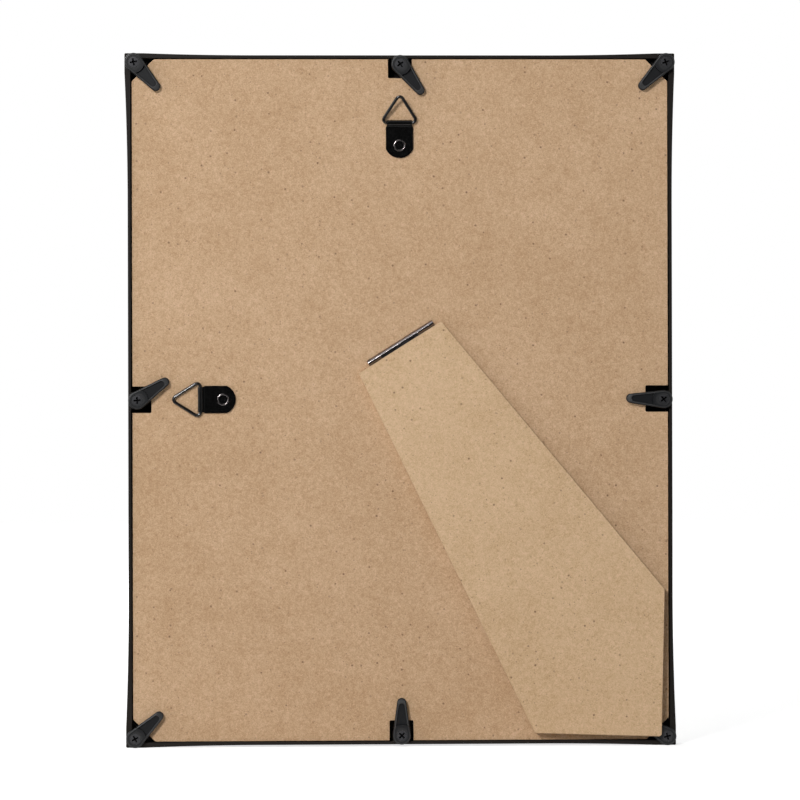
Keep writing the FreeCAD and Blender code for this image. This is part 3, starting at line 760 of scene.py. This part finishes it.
def make_eyelet():
    """A hollow eyelet: its flange rolls over from the tube, and its tail is spread in the board."""
    profile = [(1.5, -3.0), (3.1, -3.0), (3.1, -2.5), (2.0, -2.5), (2.0, 1.0), (3.0, 1.0),
               (3.07, 1.05), (3.1, 1.15), (3.07, 1.27), (2.98, 1.37), (2.85, 1.43), (2.7, 1.45),
               (2.55, 1.43), (2.42, 1.36), (2.33, 1.25), (2.26, 1.05), (2.15, 0.8), (1.95, 0.6),
               (1.7, 0.5), (1.56, 0.4), (1.5, 0.2), (1.5, -0.6)]
    return solid_mesh("eyelet", lathe(profile, 48), 50)


STRAP_HALF = 7.1
STRAP_SHEET = 0.5
STRAP_EDGE = 0.12
STRAP_LENGTH = 18.3
STRAP_END_RISE = 4.7
ROLL_HALF = 6.5
ROLL_OVER = 145
LAYER_GAP = 0.01
LAYER_BEND = 0.6


def make_strap():
    """A strap folded double round the wire, its upper layer stepping up to the roll."""
    centre = ROLL_RADIUS - STRAP_SHEET / 2
    over = math.radians(ROLL_OVER)
    end_radius = (STRAP_HALF ** 2 + STRAP_END_RISE ** 2) / (2 * STRAP_END_RISE)
    upper = STRAP_SHEET * 1.5 + LAYER_GAP

    def half_width(v):
        """Half the width at a place along the strap: its end is an arc, its roll is narrower."""
        from_end = min(v + STRAP_LENGTH, STRAP_END_RISE)
        half = math.sqrt(max(0.0, end_radius ** 2 - (end_radius - from_end) ** 2))
        return half - (STRAP_HALF - ROLL_HALF) * ease(v, -2.3, -1.3)

    ends = [-STRAP_LENGTH + STRAP_END_RISE * (1 - math.cos(math.pi / 2 * step / 16))
            for step in range(1, 17)]
    runs = ends + [-12.0, -8.0, -4.0, -2.6]
    path = [(v, STRAP_SHEET / 2) for v in runs + [-1.2]]
    for step in range(29):
        turn = -math.pi / 2 + (math.pi / 2 + over) * step / 28
        path.append((centre * math.cos(turn), ROLL_RADIUS + centre * math.sin(turn)))
    v, h = path[-1]
    lean = over - math.pi / 2
    drop = h - upper - LAYER_BEND * (1 - math.cos(lean))
    v, h = v - drop / math.tan(lean), h - drop
    for step in range(9):
        left = lean * (1 - step / 8)
        path.append((v - LAYER_BEND * (math.sin(lean) - math.sin(left)),
                     upper + LAYER_BEND * (1 - math.cos(left))))
    path += [(v, upper) for v in reversed(runs) if v < path[-1][0]]
    path = [(v, h, half_width(v)) for v, h in path]
    return solid_mesh("folded_strap", strip(path, STRAP_SHEET, STRAP_EDGE), 40)


# Turn of each hanger and how far its ring stands off the board, in degrees
HANGERS = {"top": (0.0, 18.46), "side": (90.0, 0.0)}
for side, (angle, lift) in HANGERS.items():
    pivot = joint_place("ring_" + side)
    foot = pivot - Vector((0, ROLL_RADIUS * MM, 0))
    down = Matrix.Rotation(math.radians(angle), 3, "Y") @ Vector((0, 0, -EYELET_DROP * MM))
    place_part("wire_ring_" + side, make_ring(lift), [(pivot, angle)], ["hanger_ring_" + side])
    place_part("rolled_eyelet_" + side, make_eyelet(), [(foot + down, angle)],
               ["hanger_eyelet_" + side])
    place_part("folded_strap_" + side, make_strap(), [(foot, angle)], ["hanger_strap_" + side])


# Hinge and leg, with sizes in millimetres and turns in degrees

HINGE_TURN = 32.201
LEG_TILT = 1.0459
AXIS_HEIGHT = 0.8
KNUCKLE_RADIUS = 1.4
KNUCKLE_CURL = 334
HINGE_SHEET = 0.6
HINGE_EDGE = 0.13
PIN_RADIUS = 0.75
HINGE_HALF = 20.0
MIDDLE_FROM = -12.4
MIDDLE_TO = 9.9
KNUCKLE_GAP = 0.2
LEAF_REACH = 14.0

hinge_place = joint_place("leg") - Vector((0, AXIS_HEIGHT * MM, 0))


def leaf_strip(low, high, start, up):
    """A stretch of leaf rolled round the pin, from the barrel's top (up is 1) or bottom (-1)."""
    centre = KNUCKLE_RADIUS - HINGE_SHEET / 2
    path = [(v, AXIS_HEIGHT + up * centre) for v in (start, start / 2)]
    for step in range(41):
        turn = up * (math.pi / 2 - math.radians(KNUCKLE_CURL) * step / 40)
        path.append((centre * math.cos(turn), AXIS_HEIGHT + centre * math.sin(turn)))
    verts, faces = strip([(v, h, (high - low) / 2) for v, h in path], HINGE_SHEET, HINGE_EDGE)
    return [(u + (low + high) / 2, v, h) for u, v, h in verts], faces


def make_board_leaf():
    """The leaf let into the board, its two knuckles rolled up from it."""
    top = -KNUCKLE_RADIUS - 0.3
    corners = [(-HINGE_HALF, top), (-HINGE_HALF, -LEAF_REACH),
               (HINGE_HALF, -LEAF_REACH), (HINGE_HALF, top)]
    levels = [(0.0, -HINGE_SHEET), (0.0, -0.08), (0.03, -0.02), (0.08, 0.0)]
    plate = stack([[(u, v, h) for u, v in rounded(corners, (0.1, 2.0, 2.0, 0.1), inset)]
                   for inset, h in levels])
    knuckles = [leaf_strip(-HINGE_HALF, MIDDLE_FROM - KNUCKLE_GAP, top, -1),
                leaf_strip(MIDDLE_TO + KNUCKLE_GAP, HINGE_HALF, top, -1)]
    return solid_mesh("board_leaf", joined(plate, *knuckles), 40)


def make_pin():
    """The hinge pin, with both ends peened to a low dome."""
    half = HINGE_HALF
    profile = [(0.3, -half), (0.55, 0.05 - half), (0.7, 0.15 - half), (PIN_RADIUS, 0.3 - half)]
    profile += [(radius, -height) for radius, height in reversed(profile)]
    verts, faces = lathe(profile, 32, looped=False)
    return solid_mesh("hinge_pin", ([(h, x, y + AXIS_HEIGHT) for x, y, h in verts], faces), 50)


def tilted(mesh):
    """Lean what rides on the leg by the leg's rest angle, about the pin."""
    pin = Vector((0, AXIS_HEIGHT * MM, 0))
    lean = Matrix.Rotation(math.radians(LEG_TILT), 4, "X")
    mesh.transform(Matrix.Translation(pin) @ lean @ Matrix.Translation(-pin))
    return mesh


# The leg's corners as seen from the hinge, along it and across
LEG_CORNERS = [(-26.8, -1.65), (23.8, -1.65), (47.432, -181.299), (5.13, -244.999),
               (-49.368, -208.249)]
LEG_ROUNDS = (1.2, 1.2, 1.2, 1.6, 1.2)
LEG_UNDER = 0.3
LEG_THICKNESS = 3.0


def make_leg():
    """The fibreboard leg, its sawn edges rubbed down a little."""
    low, high = LEG_UNDER, LEG_UNDER + LEG_THICKNESS
    levels = [(0.3, low), (0.09, low + 0.09), (0.0, low + 0.3), (0.0, high - 0.3),
              (0.04, high - 0.15), (0.13, high - 0.04), (0.3, high)]
    rings = [[(u, v, h) for u, v in rounded(LEG_CORNERS, LEG_ROUNDS, inset)] for inset, h in levels]
    return solid_mesh("fibreboard_leg", stack(rings), 50)


place_part("board_leaf", make_board_leaf(), [(hinge_place, HINGE_TURN)], ["hinge_leaf_board"])
place_part("peened_pin", make_pin(), [(hinge_place, HINGE_TURN)], ["hinge_pin"])
leg_leaf = solid_mesh("leg_leaf", leaf_strip(MIDDLE_FROM, MIDDLE_TO, -LEAF_REACH, 1), 40)
place_part("leg_leaf", tilted(leg_leaf), [(hinge_place, HINGE_TURN)], ["hinge_leaf_leg"])
place_part("fibreboard_leg", tilted(make_leg()), [(hinge_place, HINGE_TURN)], ["easel_leg"])


# Moulded frame, with sizes in millimetres. Depths run from its face towards its back.

FRAME_HALF = (141.45, 179.0)
FLARE = (1.5, 1.05)
CORNER_FLAT = 10.0
FLARE_RUN = (58.0, 68.0)
FRAME_CORNER_ROUND = 0.6
WALL = 1.6
FACE_WIDTH = 15.6
SIGHT_WALL = 1.9
WEB_DEPTH = 2.0
SEAT_DEPTH = 9.15
FRAME_DEPTH = 15.05
BOARD_DEPTH = (BOARD_BACK - FACE_Y) / MM
POST_RADIUS = 4.4
POST_GAP = 0.1
WEB_LEG = 10.8
CORNER_WEB_DROP = 6.5
SIDE_WEB_DROP = 0.3
SCREW_HOLE = 1.53

# Bevels of the outer edge, the wall's inner lip and the sight: how far in or out, and how deep
OUTER_BEVEL = ((0.95, 0.0), (0.8, 0.03), (0.65, 0.12), (0.12, 0.65), (0.03, 0.8), (0.0, 0.95),
               (0.0, FRAME_DEPTH - 0.4), (0.03, FRAME_DEPTH - 0.24), (0.12, FRAME_DEPTH - 0.1),
               (0.3, FRAME_DEPTH), (0.34, FRAME_DEPTH))
LIP_BEVEL = ((0.24, FRAME_DEPTH), (0.2, FRAME_DEPTH), (0.08, FRAME_DEPTH - 0.03),
             (0.0, FRAME_DEPTH - 0.12), (0.0, WEB_DEPTH))
SIGHT_BEVEL = ((SIGHT_WALL, WEB_DEPTH), (SIGHT_WALL, SEAT_DEPTH), (0.0, SEAT_DEPTH), (0.0, 1.7),
               (0.06, 1.5), (0.2, 1.3), (1.3, 0.2), (1.5, 0.06), (1.7, 0.0))


def flare(start, run, rise, steps):
    """Places along an arc that leaves a straight side and climbs, as (along, out)."""
    radius = (run * run + rise * rise) / (2 * rise)
    sweep = math.asin(run / radius)
    turns = [sweep * k / steps for k in range(1, steps + 1)]
    return [(start + radius * math.sin(turn), radius * (1 - math.cos(turn))) for turn in turns]


def outer_edge(inset):
    """Points round the frame's outer edge: straight sides that flare out to corner flats."""
    corner = [FRAME_HALF[i] + FLARE[i] - inset for i in (0, 1)]
    straight = [FRAME_HALF[i] + FLARE[i] - CORNER_FLAT - FLARE_RUN[i] for i in (0, 1)]
    side = flare(straight[1] + inset, FLARE_RUN[1], FLARE[0], 14)
    end = flare(straight[0] + inset, FLARE_RUN[0], FLARE[1], 14)
    quarter = [(FRAME_HALF[0] - inset, 0.0)]
    quarter += [(FRAME_HALF[0] - inset + out, along)
                for along, out in [(straight[1] + inset, 0.0)] + side]
    for k in range(7):
        turn = math.pi / 2 * k / 6
        quarter.append((corner[0] - FRAME_CORNER_ROUND * (1 - math.cos(turn)),
                        corner[1] - FRAME_CORNER_ROUND * (1 - math.sin(turn))))
    quarter += [(along, FRAME_HALF[1] - inset + out)
                for along, out in reversed([(straight[0] + inset, 0.0)] + end)]
    quarter.append((0.0, FRAME_HALF[1] - inset))
    half = quarter + [(-x, z) for x, z in reversed(quarter[:-1])]
    return half + [(x, -z) for x, z in reversed(half[1:-1])]


def make_frame():
    """The moulding: a bevelled face, an outer wall, a wall for the sheets, and posts on webs."""
    pocket = (FRAME_HALF[0] - WALL, FRAME_HALF[1] - WALL)
    sight = (FRAME_HALF[0] - FACE_WIDTH, FRAME_HALF[1] - FACE_WIDTH)
    middle_of_wall = (FRAME_HALF[0] - WALL / 2, FRAME_HALF[1] - WALL / 2)
    web_tip = (pocket[0] - WEB_LEG, pocket[1] - WEB_LEG)

    def rectangle(half, grow, depth):
        wide, high = half[0] + grow, half[1] + grow
        return [(min(max(x, -wide), wide), min(max(z, -high), high), depth)
                for x, z in outer_edge(0.0)]

    rings = [[(x, z, depth) for x, z in outer_edge(inset)] for inset, depth in OUTER_BEVEL]
    rings += [rectangle(pocket, grow, depth) for grow, depth in LIP_BEVEL]
    rings += [rectangle(sight, grow, depth) for grow, depth in SIGHT_BEVEL]
    shapes = [stack(rings, looped=True)]

    top = BOARD_DEPTH + BUTTON_BASE - POST_GAP
    profile = [(POST_RADIUS, WEB_DEPTH), (POST_RADIUS, top - 0.25),
               (POST_RADIUS - 0.08, top - 0.07), (POST_RADIUS - 0.25, top),
               (SCREW_HOLE, top), (SCREW_HOLE, WEB_DEPTH)]
    post, sides = lathe(profile, 40)
    for place in screw_places.values():
        x, z = -place.x / MM, (place.z - MIDDLE_Z) / MM
        shapes.append(([(u + x, v + z, h) for u, v, h in post], sides))
        at_corner = abs(x) > 1 and abs(z) > 1
        if at_corner:
            plan = [middle_of_wall, (web_tip[0], middle_of_wall[1]), (web_tip[0], pocket[1]),
                    (pocket[0], web_tip[1]), (middle_of_wall[0], web_tip[1])]
        elif abs(x) < 1:
            plan = [(POST_RADIUS, middle_of_wall[1]), (-POST_RADIUS, middle_of_wall[1]),
                    (-POST_RADIUS, abs(z)), (POST_RADIUS, abs(z))]
        else:
            plan = [(middle_of_wall[0], POST_RADIUS), (middle_of_wall[0], -POST_RADIUS),
                    (abs(x), -POST_RADIUS), (abs(x), POST_RADIUS)]
        way_x, way_z = math.copysign(1, x), math.copysign(1, z)
        levels = (WEB_DEPTH, FRAME_DEPTH - (CORNER_WEB_DROP if at_corner else SIDE_WEB_DROP))
        shapes.append(stack([[(way_x * u, way_z * v, level) for u, v in plan] for level in levels]))
    return solid_mesh("moulded_frame", joined(*shapes), 30)


place_part("moulded_frame", make_frame(), [(Vector((0, FACE_Y, MIDDLE_Z)), 0.0)],
           ["frame_moulding"])


# Floor and surroundings

def studio_floor():
    """A white floor that the camera sees as plain white, except where the object shades it."""
    half = 4.0
    mesh = bpy.data.meshes.new("studio_floor")
    mesh.from_pydata([(-half, -half, 0), (half, -half, 0), (half, half, 0), (-half, half, 0)], [],
                     [(0, 1, 2, 3)])
    floor = add_object("studio_floor", mesh)
    material = empty_material("painted_studio_floor")
    tree = material.node_tree
    paint = add(tree, "ShaderNodeBsdfDiffuse", {"Color": linear("e9e9e9")})
    path = add(tree, "ShaderNodeLightPath")
    seen = add(tree, "ShaderNodeMath", {0: path.outputs["Is Camera Ray"],
                                        1: path.outputs["Is Glossy Ray"]}, operation="MAXIMUM")
    seen = add(tree, "ShaderNodeMath", {0: seen, 1: path.outputs["Is Transmission Ray"]},
               operation="MAXIMUM")

    # The lamps light only the middle of the floor. Its glow makes up the same white further out.
    place = add(tree, "ShaderNodeTexCoord")
    away = add(tree, "ShaderNodeVectorMath", {0: place.outputs["Object"]}, operation="LENGTH")
    level = add(tree, "ShaderNodeMapRange", {0: away.outputs["Value"], 1: 0.6, 2: 1.8,
                                             3: 0.7, 4: 1.0})
    lift = add(tree, "ShaderNodeMath", {0: seen, 1: level}, operation="MULTIPLY")
    glow = add(tree, "ShaderNodeEmission", {"Color": grey(1.0), "Strength": lift})
    both = add(tree, "ShaderNodeAddShader", {0: paint, 1: glow})

    # Gloss on the frame's back finds a dark floor before it, as if a black cloth lay there
    where = add(tree, "ShaderNodeSeparateXYZ", {0: place.outputs["Object"]})
    behind = add(tree, "ShaderNodeMapRange", {0: where.outputs[1], 1: 0.02, 2: 0.2, 3: 0.0, 4: 1.0})
    cloth = add(tree, "ShaderNodeMath", {0: behind, 1: path.outputs["Is Glossy Ray"]},
                operation="MULTIPLY")
    dark = add(tree, "ShaderNodeEmission", {"Color": grey(1.0), "Strength": 0.05})
    shown = add(tree, "ShaderNodeMixShader", {0: cloth, 1: both, 2: dark})
    add(tree, "ShaderNodeOutputMaterial", {"Surface": shown})
    mesh.materials.append(material)


def studio_world(fill):
    """White wherever the camera looks. Reflections find a white set with a darker camera side."""
    world = bpy.data.worlds.new("studio")
    bpy.context.scene.world = world
    world.use_nodes = True
    tree = world.node_tree
    tree.nodes.clear()
    place = add(tree, "ShaderNodeTexCoord")
    way = add(tree, "ShaderNodeSeparateXYZ", {0: place.outputs["Generated"]})
    turn = add(tree, "ShaderNodeMapRange", {0: way.outputs[1], 1: -1.0, 2: 1.0, 3: 0.0, 4: 1.0})
    room = add(tree, "ShaderNodeValToRGB", {0: turn})
    ramp_stops(room, [(0.3, grey(1.0)), (0.5, grey(0.25)), (0.75, grey(0.06)), (1.0, grey(0.03))])

    # A broad bright screen high on the key's side, which metal and wire show as a clean line
    toward = add(tree, "ShaderNodeVectorMath", {0: place.outputs["Generated"],
                                                1: (0.45, 0.52, 0.73)}, operation="DOT_PRODUCT")
    screen = add(tree, "ShaderNodeMapRange", {0: toward.outputs["Value"], 1: 0.8, 2: 0.95,
                                              3: 0.0, 4: 0.85})
    around = add(tree, "ShaderNodeMath", {0: room, 1: screen}, operation="ADD")
    path = add(tree, "ShaderNodeLightPath")
    mirrored = add(tree, "ShaderNodeMath",
                   {0: path.outputs["Is Glossy Ray"], 1: path.outputs["Is Transmission Ray"]},
                   operation="MAXIMUM")
    rest = add(tree, "ShaderNodeMix", {0: mirrored, 2: fill, 3: around}, data_type="FLOAT")
    seen = add(tree, "ShaderNodeMix", {0: path.outputs["Is Camera Ray"], 2: rest, 3: 1.0},
               data_type="FLOAT")
    sky = add(tree, "ShaderNodeBackground", {"Color": grey(1.0), "Strength": seen})
    add(tree, "ShaderNodeOutputWorld", {"Surface": sky})


def lamp(name, spot, target, size, power):
    """A square soft light at spot, turned to its target."""
    light = bpy.data.lights.new(name, "AREA")
    light.shape = "SQUARE"
    light.size = size
    light.energy = power
    obj = add_object(name, light)
    obj.location = spot
    obj.rotation_euler = (Vector(target) - Vector(spot)).to_track_quat("-Z", "Y").to_euler()


studio_floor()
studio_world(fill=0.1)
middle = (0, 0, MIDDLE_Z)
lamp("key_softbox", (0.78, 1.95, 0.96), middle, 0.42, 30.0)
lamp("fill_softbox", (-1.1, 1.7, 0.5), middle, 1.2, 2.2)
lamp("side_softbox", (1.6, 0.55, 0.55), middle, 0.8, 5.0)
lamp("front_softbox", (0.9, -1.8, 1.2), middle, 1.0, 22.0)


# Camera

CAMERA_DISTANCE = 2.2
CAMERA_OFFSET = (0.0004, -0.0001)
VIEW_WIDTH = 415.8 * MM
SENSOR = 36.0

camera_data = bpy.data.cameras.new("camera")
camera_data.sensor_width = SENSOR
camera_data.lens = SENSOR * CAMERA_DISTANCE / VIEW_WIDTH
camera_data.clip_end = 50
camera = add_object("camera", camera_data)
yaw = math.radians(2.06)
roll = math.radians(-0.145)
camera.location = (CAMERA_DISTANCE * math.sin(yaw) + CAMERA_OFFSET[0],
                   BOARD_BACK + CAMERA_DISTANCE * math.cos(yaw), MIDDLE_Z + CAMERA_OFFSET[1])
level = Euler((math.radians(90), 0, math.radians(180) - yaw)).to_matrix()
camera.rotation_euler = (level @ Matrix.Rotation(roll, 3, "Z")).to_euler()
bpy.context.scene.camera = camera

bpy.context.scene.view_settings.view_transform = "Standard"
